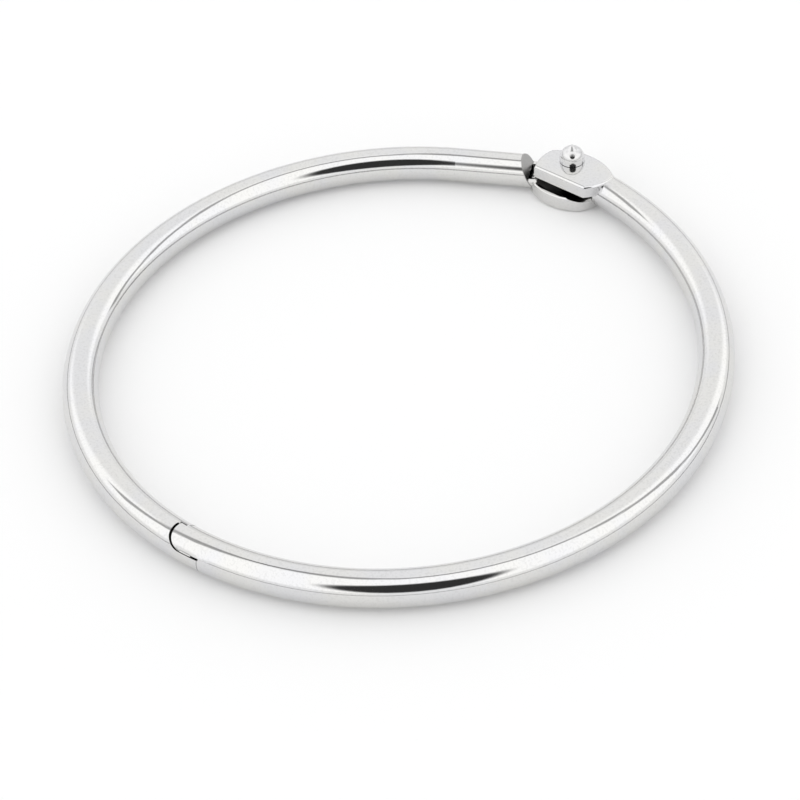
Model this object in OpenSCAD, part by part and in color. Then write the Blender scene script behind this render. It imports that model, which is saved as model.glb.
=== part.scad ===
// Hinged binder ring: two rolled-tube halves, riveted at a lapped hinge and snapped together at a lapped clasp.
// The closed ring lies flat on z = 0 with its centre on the Z axis. The rivet stands on the +Y side.

/* [Ring] */
// Outer diameter of the closed ring
ring_od = 55; // [44:1:80]
// Diameter of the rolled tube
tube_d = 3; // [2.6:0.1:3.6]
// Thickness of the sheet that the tube is rolled from
sheet_t = 0.4; // [0.35:0.05:0.5]
// Radius of the flatter curve in which the covered half runs up to the rivet, past the ring's own radius
leg_flatten = 2.8; // [2.3:0.1:4]

/* [Hinge] */
// How far the rivet stands outside the tube's centre circle
pivot_out = 1.97; // [1.6:0.05:2.4]
// Radius of the turning space that the tray is trimmed to
leaf_r = 3.6; // [3.4:0.05:3.8]
// Radius of the tray's bulged sides
tray_bulge_r = 4.7; // [4.4:0.1:5]
// Radius of the cover's bulged side
cover_bulge_r = 5.2; // [5:0.1:5.6]
// Radius of the cover's round ends
cover_end_r = 3.5; // [3.4:0.05:3.7]
// How far both leaves reach outward from the rivet
leaf_out = 1.5; // [1.45:0.05:1.7]
// How far the tray reaches inward from the rivet
tray_in = 3.38; // [3.2:0.02:3.5]
// How far the cover's straight edge stands inward from the rivet
cover_in = 2.62; // [2.4:0.02:2.7]
// How far the cover reaches past the rivet, over the tray half's leg
cover_tip = 2.74; // [2.5:0.02:2.8]
// How far the middle of the cover's end lies inward from the rivet
cover_tip_in = 1; // [0.8:0.1:1.2]
// How much further the cover runs on along its own leg
cover_root = 0.85; // [0.7:0.05:1]
// Height of the tray, the lower leaf
tray_h = 1.46; // [1.3:0.02:1.6]
// Height of the cover, the upper leaf
cover_h = 1.15; // [1:0.05:1.3]
// How far the cover stands above the tube
cover_rise = 0.1; // [0.05:0.05:0.2]
// Rounding of the leaves' pressed edges
edge_r = 0.3; // [0.2:0.05:0.4]
// Rounding of the tray's rim
rim_r = 0.15; // [0.1:0.05:0.25]
// Place past the rivet where the tray's rim starts to fall
fall_from = 1.2; // [0.8:0.1:1.6]
// Slope of the falling rim, in degrees
fall_a = 15; // [5:1:18]
// How far the cover's bulge leans along its own leg
cover_lean = 0.6; // [0.4:0.1:0.8]
// How much further the tray runs on along its own leg
tray_root = 1; // [0.8:0.1:1.2]
// Length over which the tube's top slopes down to the tray
slope_run = 0.7; // [0.5:0.1:2]

/* [Rivet] */
// Diameter of the rivet's shank, in the cover's hole
shank_d = 1.7; // [1.5:0.05:1.75]
// Diameter of the shoulder that holds the leaves apart
shoulder_d = 2; // [1.95:0.01:2.05]
// Diameter of the flush head under the tray
head_d = 3; // [2.8:0.1:3.6]
// Diameter of the stub that keeps the cover on
stub_d = 2.2; // [2.1:0.05:2.4]
// Height of the stub above the cover, point included
stub_h = 1.6; // [1.5:0.05:1.8]
// Height of the stub's straight foot above the cover, under its dome
foot_h = 0.3; // [0.1:0.05:0.4]
// Diameter of the point where it leaves the dome
point_d = 1.9; // [1.5:0.05:2]
// Height of the stub's point
point_h = 0.76; // [0.6:0.02:0.9]
// Radius of the flat at the tip of the point
point_r = 0.15; // [0.1:0.05:0.3]

/* [Clasp] */
// Angle between the clasp and the place opposite the rivet
clasp_a = 6.9; // [4:0.1:8]
// Length of the lip under the nose
lip_l = 3.2; // [2:0.1:4]
// Height of the lap above the tube's middle
lap_up = 0.55; // [0.4:0.05:0.6]
// Radius of the nose's lower corner
nose_r = 1.7; // [1.4:0.05:1.8]
// Radius of the lip's inner corner
lip_r = 1.6; // [1.3:0.05:1.7]
// Length of the ear beside the nose
ear_l = 1; // [0.8:0.05:1.3]
// How far the ear stands to the ring's inner side of the tube's middle
ear_in = 0.58; // [0.5:0.02:0.7]
// Angle that the ear is bent out of the tube's line
ear_splay = 14; // [8:1:16]
// How far before the tube's end the ear starts to bend out
ear_from = 0.5; // [0.4:0.1:1]
// Rounding of the ear's end
ear_r = 0.5; // [0.4:0.05:0.7]
// Length of the relief at the lap's end
relief_l = 0.6; // [0.4:0.05:1]
// Height of the relief at the lap's end
relief_h = 0.1; // [0.08:0.01:0.2]
// Length of the solid plug behind the lap
plug_l = 1.5; // [1:0.1:3]
// Diameter of the tongue's neck
tongue_d = 1.1; // [0.8:0.05:1.2]
// Diameter of the snap bead at the tongue's tip
bead_d = 1.4; // [1.3:0.05:1.5]
// Length of the snap bead, whose ends are flat
bead_l = 1; // [0.8:0.05:1.1]
// Length of the tongue inside the socket
tongue_l = 3.4; // [2.4:0.1:4]

/* [Clearances] */
// Gap under and over the cover on the rivet
seat_gap = 0.04; // [0.03:0.01:0.06]
// Running clearance round the shank, on the radius
bore_gap = 0.05; // [0.02:0.01:0.08]
// Clearance past the turning leaves, on the radius
turn_gap = 0.15; // [0.1:0.05:0.25]
// Gap between the tube's end and the nose
nose_gap = 0.16; // [0.12:0.02:0.24]
// Clearance round the ear
ear_gap = 0.1; // [0.08:0.01:0.16]
// Gap along the lap
lap_gap = 0.08; // [0.05:0.01:0.12]
// Gap at the lip's tip
tip_gap = 0.04; // [0.03:0.01:0.08]

/* [Hidden] */
$fn = 96;
steel = [0.82, 0.82, 0.84];

// Tube and ring
tube_r = tube_d / 2;
bore_r = tube_r - sheet_t;
ring_r = ring_od / 2 - tube_r;
pivot_r = ring_r + pivot_out;
mid_z = tube_r;
far = 4 * tube_d;
// Each leg's rod is slimmer than the ring's by this step and enters it by this length.
leg_step = 0.006;
leg_entry = 0.3;

// Straight leg of the tray half: it runs from the rivet to the ring as a tangent.
tray_leg_a = acos(ring_r / pivot_r);
tray_leg_l = sqrt(pow(pivot_r, 2) - pow(ring_r, 2));

// Curved leg of the cover half: it leaves the ring as a tangent and ends at the rivet.
cover_leg_r = ring_r + leg_flatten;
cover_leg_sq = pow(cover_leg_r, 2) - pow(pivot_r, 2) - pow(leg_flatten, 2);
cover_leg_a = asin(cover_leg_sq / (2 * pivot_r * leg_flatten));
cover_leg_x = -leg_flatten * cos(cover_leg_a);
cover_leg_y = -leg_flatten * sin(cover_leg_a);
cover_end_a = atan2(pivot_r - cover_leg_y, -cover_leg_x);
cover_turn = cover_end_a - 90;

// Levels and reaches of the hinge
cover_top = tube_d + cover_rise;
cover_z = cover_top - cover_h;
web_z = cover_top - sheet_t;
turn_r = leaf_r + turn_gap;
cover_rod_u = leaf_r - 2 * sheet_t;
inner_edge_r = edge_r / 3;

// Places along the clasp
clasp_pos = 270 - clasp_a;
lip_end_a = clasp_pos + arc_angle(lip_l);
shoulder_a = lip_end_a + arc_angle(tip_gap);
plug_end_a = shoulder_a + arc_angle(plug_l);
lap_z = mid_z + lap_up;

// Path of the tongue: a circle about the rivet, so that it leaves the socket along itself.
tongue_root = from_pivot(shoulder_a + arc_angle(plug_l / 2));
tongue_tip = from_pivot(clasp_pos - arc_angle(tongue_l));
tongue_path_r = (norm(from_pivot(shoulder_a)) + norm(tongue_tip)) / 2;

// Angle that a length takes up on the ring's centre circle
function arc_angle(l) = l / ring_r * 180 / PI;
// Place on the ring's centre circle, seen from the rivet
function from_pivot(a) = [ring_r * cos(a), ring_r * sin(a) - pivot_r];
// Direction of a place, as an angle
function bearing(p) = atan2(p[1], p[0]);

// Round rod bent to a circle about the Z axis
module bent_rod(path_r, r, from_a, to_a) {
    rotate([0, 0, from_a])
        rotate_extrude(angle = to_a - from_a)
            translate([path_r, 0])
                circle(r);
}

// Disc with a rounded lower rim and a rounded upper rim
module rounded_disc(r, h, low_r, top_r) {
    rotate_extrude() {
        translate([0, low_r])
            square([r, h - low_r - top_r]);
        square([r - max(low_r, top_r), h]);
        intersection() {
            translate([r - low_r, low_r])
                circle(low_r);
            square([r, h]);
        }
        intersection() {
            translate([r - top_r, h - top_r])
                circle(top_r);
            square([r, h]);
        }
        translate([0, h - top_r])
            square([r - top_r, top_r]);
        square([r - low_r, low_r]);
    }
}

// Quarter plane whose corner is rounded
module round_quarter(r) {
    translate([r, 0])
        square(far);
    translate([0, r])
        square(far);
    translate([r, r])
        circle(r);
}

// Prism along X whose profile lies in the YZ plane
module along_x(w) {
    rotate([90, 0, 90])
        linear_extrude(w, center = true)
            children();
}

// Frame at the rivet's axis, on the resting plane
module at_pivot() {
    translate([0, pivot_r, 0])
        children();
}

// Frame at the rivet whose +X runs out along the tray half's leg
module at_tray_leg() {
    at_pivot()
        rotate([0, 0, 180 + tray_leg_a])
            children();
}

// Frame at the clasp: +X points out of the ring, +Y runs along the tube towards the cover half
module at_clasp() {
    rotate([0, 0, clasp_pos])
        translate([ring_r, 0, 0])
            children();
}

// Space above a slope that rises along +X
module above_slope(foot, run, low, high) {
    rotate([90, 0, 0])
        linear_extrude(2 * far, center = true)
            polygon([
                [-far, low],
                [foot, low],
                [foot + run, high],
                [foot + run, far],
                [-far, far]
            ]);
}

// Rod along the tray half's middle line, from the rivet to an angle on the ring
module tray_rod(r, end_a) {
    translate([0, 0, mid_z]) {
        bent_rod(ring_r, r, 90 + tray_leg_a, end_a);
        at_tray_leg()
            rotate([0, 90, 0])
                cylinder(r = r - leg_step, h = tray_leg_l + leg_entry);
    }
}

// Rod along the cover half's middle line, from an angle on the ring to a distance short of the rivet
module cover_rod(r, start_a, short) {
    from_a = cover_leg_a - leg_entry / cover_leg_r * 180 / PI;
    to_a = cover_end_a - short / cover_leg_r * 180 / PI;
    translate([0, 0, mid_z]) {
        bent_rod(ring_r, r, start_a, 360 + cover_leg_a);
        translate([cover_leg_x, cover_leg_y, 0])
            bent_rod(cover_leg_r, r - leg_step, from_a, to_a);
    }
}

// Block of the tray's outline: two bulged sides and round ends
module tray_block(inset, h, low_r, top_r) {
    intersection() {
        translate([0, tray_bulge_r - tray_in, 0])
            rounded_disc(tray_bulge_r - inset, h, low_r, top_r);
        translate([0, leaf_out - tray_bulge_r, 0])
            rounded_disc(tray_bulge_r - inset, h, low_r, top_r);
        union() {
            rounded_disc(leaf_r - inset, h, low_r, top_r);
            rotate([0, 0, 180 + tray_leg_a])
                translate([tray_root, 0, 0])
                    rounded_disc(leaf_r - inset, h, low_r, top_r);
        }
    }
}

// Half space on one side of the rivet, with some overlap into the other
module beside_rivet(side) {
    translate([side * (far - edge_r), 0, 0])
        cube([2 * far, 2 * far, 2 * far], center = true);
}

// Block of the cover's outline, upside down: a straight side, a bulged side and two round ends
module cover_block(inset, low_r) {
    intersection() {
        translate([cover_lean, cover_bulge_r - leaf_out, 0])
            rounded_disc(cover_bulge_r - inset, cover_h, low_r, inner_edge_r);
        rotate([0, 0, -cover_turn])
            translate([0, cover_in - inset, 0])
                mirror([0, 1, 0])
                    along_x(2 * far)
                        round_quarter(low_r);
        union() {
            intersection() {
                translate([cover_end_r - cover_tip, cover_tip_in, 0])
                    rounded_disc(cover_end_r - inset, cover_h, low_r, inner_edge_r);
                beside_rivet(-1);
            }
            intersection() {
                rotate([0, 0, -cover_turn])
                    translate([cover_root, 0, 0])
                        rounded_disc(cover_end_r - inset, cover_h, low_r, inner_edge_r);
                beside_rivet(1);
            }
        }
    }
}

// Turns a cover block the right way up, with its flat face at a level
module place_cover(top) {
    at_pivot()
        translate([0, 0, top])
            rotate([180, 0, 0])
                children();
}

// Cavity of the tray, under its rim
module tray_cavity() {
    intersection() {
        translate([0, 0, sheet_t])
            tray_block(sheet_t, tray_h, inner_edge_r, inner_edge_r);
        translate([-far, -far, 0])
            cube([2 * far, 2 * far, tray_h]);
    }
}

// Space above the falling end of the tray's rim
module above_fall() {
    translate([fall_from, 0, tray_h])
        rotate([0, fall_a, 0])
            translate([0, 0, far / 2])
                cube([2 * leaf_r, 2 * far, far], center = true);
}

// Space of the nose: past its front and above the lap, with a rounded lower corner
module nose_space(front, low, r) {
    at_clasp()
        along_x(2 * tube_d)
            translate([front, low])
                round_quarter(r);
}

// Space of the ear on the ring's inner side of the nose
module ear_space(gap) {
    at_clasp()
        translate([gap - ear_in - tube_d, 0, 0])
            along_x(2 * tube_d)
                translate([ear_l + gap, tube_d + gap])
                    rotate(180)
                        round_quarter(ear_r + gap);
}

// Ear bent out of the tube's line, from the tube's middle height up
module ear() {
    intersection() {
        at_clasp()
            translate([0, -ear_from, mid_z])
                rotate([0, 0, ear_splay])
                    rotate([-90, 0, 0])
                        cylinder(r = tube_r, h = far);
        ear_space(0);
        translate([0, 0, far + mid_z])
            cube(2 * far, center = true);
    }
}

// Space at the clasp that the cover half may reach into
module cover_clasp_space() {
    difference() {
        nose_space(nose_gap, lap_z + lap_gap / 2, nose_r);
        ear_space(ear_gap);
    }
}

// Relief in the nose's outer side, at the end of the lap
module lap_relief() {
    rotate([0, 0, shoulder_a - arc_angle(relief_l)])
        rotate_extrude(angle = arc_angle(relief_l + lap_gap))
            translate([ring_r + tongue_d / 2, lap_z])
                square([tube_d, lap_gap / 2 + relief_h]);
}

// Slice of the ring's neighbourhood that holds the clasp, up to the shoulder
module clasp_slice() {
    rotate([0, 0, clasp_pos - 1])
        rotate_extrude(angle = shoulder_a - clasp_pos + 1)
            translate([ring_r - tube_d, -tube_d])
                square([2 * tube_d, 3 * tube_d]);
}

// Barrel-shaped bead about the Z axis
module snap_bead() {
    rotate_extrude()
        intersection() {
            circle(bead_d / 2);
            translate([0, -bead_l / 2])
                square([bead_d, bead_l]);
        }
}

// Tongue with its snap bead, bent to a circle about the rivet
module tongue() {
    translate([0, pivot_r, mid_z]) {
        bent_rod(tongue_path_r, tongue_d / 2, bearing(tongue_tip), bearing(tongue_root));
        rotate([0, 0, bearing(tongue_tip)])
            translate([tongue_path_r, 0, 0])
                rotate([90, 0, 0])
                    snap_bead();
    }
}

// Countersunk head of the rivet, as deep as the sheet
module rivet_head() {
    cylinder(r1 = head_d / 2, r2 = shank_d / 2, h = sheet_t);
}

// Lower half of the ring: rolled tube with the tray of the hinge, and the socket, lip and ear of the clasp
module tray_half() {
    color(steel)
        difference() {
            union() {
                difference() {
                    tray_rod(tube_r, lip_end_a);
                    at_tray_leg()
                        above_slope(turn_r, slope_run, tray_h - leg_step, tube_d);
                }
                at_pivot()
                    difference() {
                        tray_block(0, tray_h, edge_r, rim_r);
                        above_fall();
                    }
                ear();
            }
            difference() {
                tray_rod(bore_r, lip_end_a + 1);
                at_tray_leg()
                    above_slope(turn_r + 2 * sheet_t, slope_run, tray_h, tube_d);
            }
            at_pivot()
                tray_cavity();
            at_pivot()
                rivet_head();
            difference() {
                nose_space(0, lap_z - lap_gap / 2, lip_r);
                ear_space(0);
            }
        }
}

// Solid blank of the cover half: tube and cover, trimmed where the tray and the rivet turn in it
module cover_blank() {
    difference() {
        union() {
            cover_rod(tube_r, clasp_pos, cover_rod_u);
            place_cover(cover_top)
                cover_block(0, edge_r);
        }
        at_pivot()
            translate([0, 0, cover_z - far])
                cylinder(r = turn_r, h = far);
        at_pivot()
            cylinder(r = shank_d / 2 + bore_gap, h = far);
    }
}

// Upper half of the ring: rolled tube with the cover of the hinge, and the nose and tongue of the clasp
module cover_half() {
    color(steel) {
        difference() {
            cover_blank();
            cover_rod(bore_r, plug_end_a, cover_rod_u + sheet_t);
            place_cover(web_z)
                cover_block(sheet_t, inner_edge_r);
            difference() {
                clasp_slice();
                cover_clasp_space();
            }
            lap_relief();
        }
        tongue();
    }
}

// Shouldered rivet: flush head, shoulder under the cover, shank through it, and domed and pointed stub over it
module hinge_rivet() {
    shank_r = shank_d / 2;
    shoulder_r = shoulder_d / 2;
    stub_r = stub_d / 2;
    stub_z = cover_top + seat_gap;
    foot_z = cover_top + foot_h;
    tip_z = cover_top + stub_h;
    color(steel)
        at_pivot() {
            rivet_head();
            rotate_extrude() {
                polygon([
                    [0, sheet_t],
                    [shoulder_r, sheet_t],
                    [shoulder_r, web_z - seat_gap],
                    [shank_r, web_z - seat_gap],
                    [shank_r, stub_z],
                    [stub_r, stub_z],
                    [stub_r, foot_z],
                    [0, foot_z]
                ]);
                intersection() {
                    translate([0, foot_z])
                        circle(stub_r);
                    translate([0, stub_z])
                        square([stub_r, stub_h]);
                }
                polygon([
                    [0, foot_z],
                    [point_d / 2, foot_z],
                    [point_d / 2, tip_z - point_h],
                    [point_r, tip_z],
                    [0, tip_z]
                ]);
            }
        }
}

tray_half();
cover_half();
hinge_rivet();
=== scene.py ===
"""A nickel-plated binder ring, closed and lying flat on a pale table under soft studio light."""

import math

import bpy
from mathutils import Matrix, Vector

MM = 0.001

# Camera: it looks at a point near the ring's middle from far off, through a long lens.
CAMERA_AZIMUTH = 36.8
CAMERA_ELEVATION = 42.528
CAMERA_ROLL = -4.5
CAMERA_DISTANCE = 210.26 * MM
CAMERA_TARGET = (3.144 * MM, -4.201 * MM, 1.5 * MM)
CAMERA_LENS = 117.37

# The rivet's axis, the turn of the cover's straight edge, and a level just under the tray's rim
PIVOT = (0.0, 27.97 * MM, 0.0)
COVER_TURN = math.radians(5.4)
RIM_HIGH = 1.3 * MM
# The tray's floor, the cover's underside, and how far from the rivet the painted near-black shade and extra
# roughness inside the hinge reach
TRAY_FLOOR, COVER_UNDER = 0.3 * MM, 2.75 * MM
TRAY_REACH, COVER_REACH, SKIRT_REACH = 3.2 * MM, 2.6 * MM, 2.3 * MM
# Length over which the edges of the painted shade inside the hinge and of the spun point fade
FADE = 0.1 * MM
# Inner faces of the curved outer walls, as centre from the rivet and radius
TRAY_WALL = ((0.0, -3.2 * MM, 0.0), 4.35 * MM)
COVER_WALL = ((0.6 * MM, -3.7 * MM, 0.0), 4.85 * MM)

# The pressed slope above the tray: where its foot is, how far it runs, and the levels it rises between
SLOPE_AZIMUTH = math.radians(180.0 + 21.6)
SLOPE_FOOT, SLOPE_RUN, SLOPE_LOW, SLOPE_HIGH = 3.75 * MM, 0.7 * MM, 1.46 * MM, 3.0 * MM
SLOPE_OUT = Vector((math.cos(SLOPE_AZIMUTH), math.sin(SLOPE_AZIMUTH), 0.0))
SLOPE_RAISE = Vector((0, 0, 0.5 * (SLOPE_LOW + SLOPE_HIGH)))
SLOPE_MIDDLE = Vector(PIVOT) + SLOPE_OUT * (SLOPE_FOOT + 0.5 * SLOPE_RUN) + SLOPE_RAISE
SLOPE_NORMAL = (Vector((0, 0, SLOPE_RUN)) - SLOPE_OUT * (SLOPE_HIGH - SLOPE_LOW)).normalized()

# Nickel's reflectance where the plate looks cool and where it looks warm
NICKEL_COOL = (0.695, 0.695, 0.705, 1)
NICKEL_WARM = (0.715, 0.71, 0.695, 1)
# Height from which the stub's point is spun and not polished, and how dark the plating's flecks are
SPUN_FROM = 4.05 * MM
FLECKS = 0.05
# Features per metre of the uneven polish, the wipe marks and the plating's grain
CLOUD_SCALE, WIPE_SCALE, GRAIN_SCALE = 260.0, 900.0, 5200.0
# Roughness of the polish, and what wipe marks, uneven polish and missing polish add to it
POLISH, WIPE_ROUGH, CLOUD_ROUGH, UNPOLISHED_ROUGH = 0.035, 0.05, 0.03, 0.22
# Darkened nickel on the pressed slope: a painted dark reflection
SLOPE_PAINTED_DARK = (0.36, 0.355, 0.35, 1)
# Near-black painted shade inside the hinge's tray and under its cover, also the colour of the plating's dark
# flecks
HINGE_SHADE_AND_FLECKS = (0.018, 0.017, 0.016, 1)

# Soft dark or grey patches of the studio: centre as right, away and up, inner and outer angle, and shade
PATCHES = [
    ((0.0, -0.737, 0.676), 19.0, 27.0, 0.97),
    ((0.0, 0.74, 0.67), 22.0, 40.0, 0.2),
]

# Thin dark seams: directions as right, away and up, half width in degrees, and shade
RIGHT_SEAM = [
    (-0.18, 0.44, 0.88),
    (-0.05, 0.18, 0.98),
    (0.32, 0.19, 0.93),
    (0.55, 0.09, 0.83),
    (0.83, 0.17, 0.54),
    (0.86, 0.43, 0.26),
]
LEFT_SEAM = [(-0.75, 0.3, 0.58), (-0.49, 0.26, 0.83), (-0.18, 0.44, 0.88)]
SEAMS = [(RIGHT_SEAM, 5.0, 0.62), (LEFT_SEAM, 5.0, 0.62)]
# Half of the length over which a stretch of seam fades out past its ends
SEAM_END = 0.02
# Shade of the wide band above the horizon, and of the thin line on it
HORIZON_SHADE = 0.22
HORIZON_LINE = 0.6
# Strength of the white walls, and how much the floor is lifted towards white where it is seen
WALLS = 1.35
FLOOR_LIFT = 0.1

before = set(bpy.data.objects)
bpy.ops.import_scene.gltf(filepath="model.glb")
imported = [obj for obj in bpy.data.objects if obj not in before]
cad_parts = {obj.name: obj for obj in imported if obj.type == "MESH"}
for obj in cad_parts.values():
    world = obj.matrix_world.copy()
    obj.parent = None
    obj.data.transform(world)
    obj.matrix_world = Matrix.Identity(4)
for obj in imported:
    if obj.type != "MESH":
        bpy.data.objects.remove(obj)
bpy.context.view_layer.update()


def direction(azimuth, elevation):
    """Unit vector from the object towards a viewer at that azimuth and elevation, in degrees."""
    a, e = math.radians(azimuth), math.radians(elevation)
    return Vector((math.sin(a) * math.cos(e), -math.cos(a) * math.cos(e), math.sin(e)))


def add_camera():
    """The camera, far off and above the ring, turned slightly about its own axis."""
    data = bpy.data.cameras.new("camera")
    data.sensor_width = 36.0
    data.lens = CAMERA_LENS
    data.clip_start = 0.01
    data.clip_end = 20.0
    camera = bpy.data.objects.new("camera", data)
    bpy.context.scene.collection.objects.link(camera)
    back = direction(CAMERA_AZIMUTH, CAMERA_ELEVATION)
    right = (-back).cross(Vector((0, 0, 1))).normalized()
    up = right.cross(-back)
    roll = math.radians(CAMERA_ROLL)
    tilted_right = math.cos(roll) * right + math.sin(roll) * up
    tilted_up = -math.sin(roll) * right + math.cos(roll) * up
    turn = Matrix((tilted_right, tilted_up, back)).transposed()
    camera.matrix_world = Matrix.Translation(Vector(CAMERA_TARGET) + back * CAMERA_DISTANCE) @ turn.to_4x4()
    bpy.context.scene.camera = camera


class Graph:
    """Short calls for adding shader nodes to one node tree."""

    def __init__(self, tree):
        self.tree = tree

    def node(self, kind, inputs=(), **settings):
        """A node of a kind, with its inputs set by name or place to numbers or linked to sockets."""
        made = self.tree.nodes.new(kind)
        for name, value in settings.items():
            setattr(made, name, value)
        for key, value in dict(inputs).items():
            if isinstance(value, bpy.types.NodeSocket):
                self.tree.links.new(value, made.inputs[key])
            else:
                made.inputs[key].default_value = value
        return made

    def math(self, operation, first, second=0.0, third=0.0):
        """One number from a Math node."""
        return self.node("ShaderNodeMath", {0: first, 1: second, 2: third}, operation=operation).outputs[0]

    def dot(self, vector, constant):
        """Dot product of a vector socket with a fixed vector."""
        made = self.node("ShaderNodeVectorMath", {0: vector, 1: tuple(constant)}, operation="DOT_PRODUCT")
        return made.outputs["Value"]

    def blend(self, factor, first, second):
        """A colour between two."""
        made = self.node("ShaderNodeMix", {"Factor": factor, 6: first, 7: second}, data_type="RGBA")
        return made.outputs[2]

    def ramp(self, value, low, high, at_low=0.0, at_high=1.0):
        """A smooth step of a value between two levels."""
        step = self.node(
            "ShaderNodeMapRange",
            {"Value": value, "From Min": low, "From Max": high, "To Min": at_low, "To Max": at_high},
            interpolation_type="SMOOTHSTEP",
        )
        return step.outputs["Result"]

    def band(self, value, low_start, low_end, high_start, high_end):
        """One between low_end and high_start, zero below low_start and above high_end."""
        rise = self.ramp(value, low_start, low_end)
        return self.math("MULTIPLY", rise, self.ramp(value, high_start, high_end, 1.0, 0.0))

    def noise(self, coordinates, scale, detail=2.0, stretch=(1.0, 1.0, 1.0)):
        """Noise over coordinates in metres, with features about 1/scale metres wide."""
        mapped = self.node("ShaderNodeMapping", {"Vector": coordinates, "Scale": stretch})
        inputs = {"Vector": mapped.outputs[0], "Scale": scale, "Detail": detail}
        return self.node("ShaderNodeTexNoise", inputs).outputs["Fac"]


def within(graph, flat, centre, radius):
    """One inside an upright cylinder, fading to zero just outside it."""
    away = graph.node("ShaderNodeVectorMath", {0: flat, 1: centre}, operation="SUBTRACT").outputs[0]
    reach = graph.node("ShaderNodeVectorMath", {0: away}, operation="LENGTH").outputs["Value"]
    return graph.ramp(reach, radius, radius + FADE, 1.0, 0.0)


def hinge_shade_and_rough(graph, place):
    """One inside the hinge's tray and under its cover, zero elsewhere, from places in metres: where
    near-black shade is painted and the nickel is made rougher.
    """
    offset = graph.node("ShaderNodeVectorMath", {0: place, 1: PIVOT}, operation="SUBTRACT").outputs[0]
    axes = graph.node("ShaderNodeSeparateXYZ", {0: offset})
    height = axes.outputs[2]
    flat = graph.node("ShaderNodeCombineXYZ", {0: axes.outputs[0], 1: axes.outputs[1]}).outputs[0]
    rivet = (0.0, 0.0, 0.0)
    under_rim = graph.band(height, TRAY_FLOOR, TRAY_FLOOR + 0.8 * FADE, RIM_HIGH, RIM_HIGH + FADE)
    tray_round = within(graph, flat, rivet, TRAY_REACH)
    in_tray = graph.math("MULTIPLY", tray_round, within(graph, flat, *TRAY_WALL))
    in_tray = graph.math("MULTIPLY", under_rim, in_tray)
    under_cover = graph.band(height, RIM_HIGH, RIM_HIGH + FADE, COVER_UNDER, COVER_UNDER + FADE)
    cover_round = within(graph, flat, rivet, COVER_REACH)
    in_cover = graph.math("MULTIPLY", cover_round, within(graph, flat, *COVER_WALL))
    inward = graph.dot(offset, (-math.sin(COVER_TURN), -math.cos(COVER_TURN), 0.0))
    behind_skirt = graph.ramp(inward, SKIRT_REACH, SKIRT_REACH + FADE, 1.0, 0.0)
    in_cover = graph.math("MULTIPLY", in_cover, behind_skirt)
    return graph.math("MAXIMUM", in_tray, graph.math("MULTIPLY", under_cover, in_cover))


def slope_shade_and_rough(graph, place):
    """One on the pressed slope where the tube drops to the tray: there the nickel is darkened as a painted
    dark reflection, and made rougher where the polishing wheel misses.
    """
    offset = graph.node("ShaderNodeVectorMath", {0: place, 1: SLOPE_MIDDLE}, operation="SUBTRACT").outputs[0]
    along = graph.math("ABSOLUTE", graph.dot(offset, SLOPE_NORMAL))
    reach = graph.node("ShaderNodeVectorMath", {0: offset}, operation="LENGTH").outputs["Value"]
    on_face = graph.ramp(along, 0.03 * MM, 0.09 * MM, 1.0, 0.0)
    return graph.math("MULTIPLY", on_face, graph.ramp(reach, 2.2 * MM, 2.6 * MM, 1.0, 0.0))


def nickel():
    """Bright nickel plate: slightly uneven polish, fine wipe marks and faint plating grain, with painted
    near-black shade inside the hinge and a painted dark reflection on the pressed slope.
    """
    material = bpy.data.materials.new("bright_nickel")
    material.use_nodes = True
    graph = Graph(material.node_tree)
    shader = material.node_tree.nodes["Principled BSDF"]
    shader.inputs["Metallic"].default_value = 1.0
    place = graph.node("ShaderNodeTexCoord").outputs["Object"]
    cloud = graph.noise(place, CLOUD_SCALE, 3.0)
    wipe = graph.noise(place, WIPE_SCALE, 4.0, (1.0, 1.0, 6.0))
    grain = graph.noise(place, GRAIN_SCALE, 2.0)
    inside = hinge_shade_and_rough(graph, place)
    pressed = slope_shade_and_rough(graph, place)
    tint = graph.blend(graph.ramp(cloud, 0.35, 0.65), NICKEL_COOL, NICKEL_WARM)
    # Painted dark reflection: the nickel on the pressed slope is darkened
    slope_shaded = graph.blend(pressed, tint, SLOPE_PAINTED_DARK)
    flecked = graph.blend(graph.ramp(grain, 0.36, 0.5, FLECKS, 0.0), slope_shaded, HINGE_SHADE_AND_FLECKS)
    # Painted shade: the inside of the hinge is set near-black
    colour = graph.blend(inside, flecked, HINGE_SHADE_AND_FLECKS)
    height = graph.node("ShaderNodeSeparateXYZ", {0: place}).outputs[2]
    spun = graph.ramp(height, SPUN_FROM, SPUN_FROM + FADE)
    unpolished = graph.math("MAXIMUM", graph.math("MAXIMUM", inside, spun), pressed)
    links = material.node_tree.links
    links.new(colour, shader.inputs["Base Color"])
    wiped = graph.math("MULTIPLY_ADD", wipe, WIPE_ROUGH, POLISH)
    clouded = graph.math("MULTIPLY_ADD", cloud, CLOUD_ROUGH, wiped)
    rough = graph.math("MULTIPLY_ADD", unpolished, UNPOLISHED_ROUGH, clouded)
    links.new(rough, shader.inputs["Roughness"])
    low = graph.node("ShaderNodeBump", {"Strength": 0.06, "Distance": 0.04 * MM, "Height": cloud})
    marks = graph.math("ADD", wipe, grain)
    fine = graph.node(
        "ShaderNodeBump",
        {"Strength": 0.04, "Distance": 0.006 * MM, "Height": marks, "Normal": low.outputs[0]},
    )
    links.new(fine.outputs[0], shader.inputs["Normal"])
    return material


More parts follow.
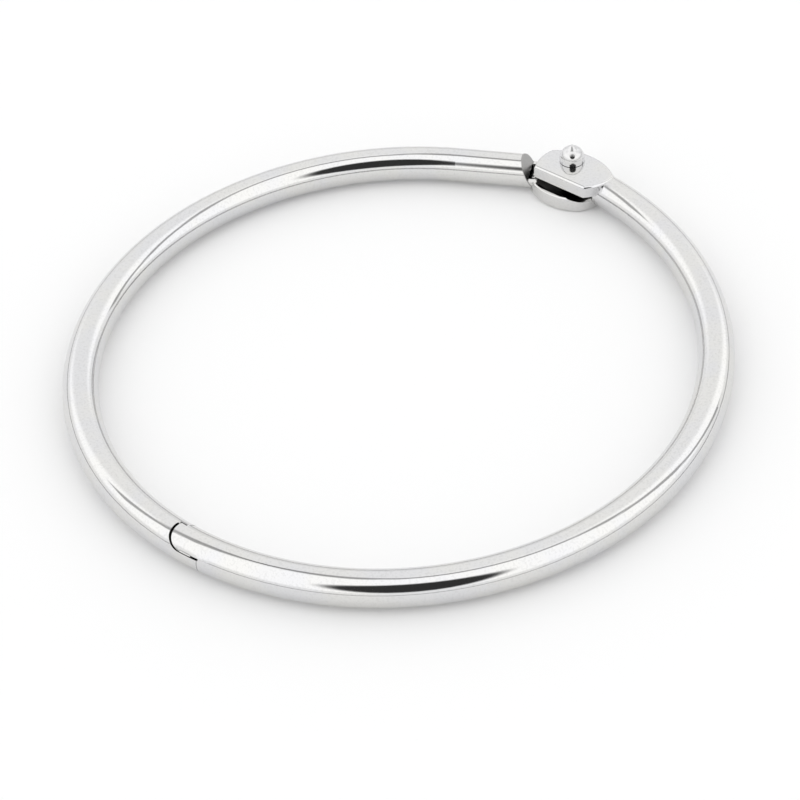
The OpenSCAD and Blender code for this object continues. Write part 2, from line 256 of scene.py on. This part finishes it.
def add_floor():
    """The white table."""
    bpy.ops.mesh.primitive_plane_add(size=6.0)
    floor = bpy.context.object
    floor.name = "floor"
    material = bpy.data.materials.new("table")
    material.use_nodes = True
    graph = Graph(material.node_tree)
    shader = material.node_tree.nodes["Principled BSDF"]
    shader.inputs["Base Color"].default_value = (0.85, 0.85, 0.85, 1)
    shader.inputs["Roughness"].default_value = 1.0
    shader.inputs["Specular IOR Level"].default_value = 0.0
    shader.inputs["Emission Color"].default_value = (1, 1, 1, 1)
    rays = graph.node("ShaderNodeLightPath")
    seen = graph.math("MAXIMUM", rays.outputs["Is Camera Ray"], rays.outputs["Is Glossy Ray"])
    glow = graph.math("MULTIPLY", seen, FLOOR_LIFT)
    material.node_tree.links.new(glow, shader.inputs["Emission Strength"])
    floor.data.materials.append(material)


def room(x, y, z):
    """Unit vector given as right, away and up for the main camera, in the model's own frame."""
    return (Matrix.Rotation(math.radians(CAMERA_AZIMUTH), 3, "Z") @ Vector((x, y, z))).normalized()


def add_world():
    """The studio as seen from the ring: white walls with dark seams, a grey back wall and a dark camera."""
    world = bpy.data.worlds.new("studio")
    bpy.context.scene.world = world
    world.use_nodes = True
    graph = Graph(world.node_tree)
    raw = graph.node("ShaderNodeTexCoord").outputs["Generated"]
    look = graph.node("ShaderNodeVectorMath", {0: raw}, operation="NORMALIZE").outputs[0]
    level = None

    def darken(amount):
        """Multiplies the studio's level by one minus an amount."""
        nonlocal level
        keep = graph.math("SUBTRACT", 1.0, amount)
        level = keep if level is None else graph.math("MULTIPLY", level, keep)

    for centre, inner, outer, amount in PATCHES:
        near = graph.dot(look, room(*centre))
        darken(graph.ramp(near, math.cos(math.radians(outer)), math.cos(math.radians(inner)), 0.0, amount))
    for path, width, amount in SEAMS:
        seam = None
        for start, end in zip(path, path[1:]):
            a, b = room(*start), room(*end)
            pole = a.cross(b).normalized()
            off = graph.math("ABSOLUTE", graph.dot(look, pole))
            inner, outer = math.sin(math.radians(0.5 * width)), math.sin(math.radians(width))
            line = graph.ramp(off, inner, outer, amount, 0.0)
            after = graph.ramp(graph.dot(look, pole.cross(a)), -SEAM_END, SEAM_END)
            before = graph.ramp(graph.dot(look, b.cross(pole)), -SEAM_END, SEAM_END)
            part = graph.math("MULTIPLY", line, graph.math("MULTIPLY", after, before))
            seam = part if seam is None else graph.math("MAXIMUM", seam, part)
        darken(seam)
    height = graph.dot(look, (0, 0, 1))
    darken(graph.math("MULTIPLY", graph.band(height, 0.02, 0.07, 0.2, 0.4), HORIZON_SHADE))
    darken(graph.math("MULTIPLY", graph.band(height, 0.0, 0.03, 0.06, 0.11), HORIZON_LINE))
    rays = graph.node("ShaderNodeLightPath")
    shown = graph.math("MAXIMUM", graph.math("MULTIPLY", level, WALLS), rays.outputs["Is Camera Ray"])
    background = world.node_tree.nodes["Background"]
    background.inputs["Color"].default_value = (1, 1, 1, 1)
    world.node_tree.links.new(shown, background.inputs["Strength"])


add_camera()
metal = nickel()
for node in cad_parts.values():
    for slot in node.material_slots:
        slot.material = metal
add_floor()
add_world()
bpy.context.scene.view_settings.view_transform = "Standard"
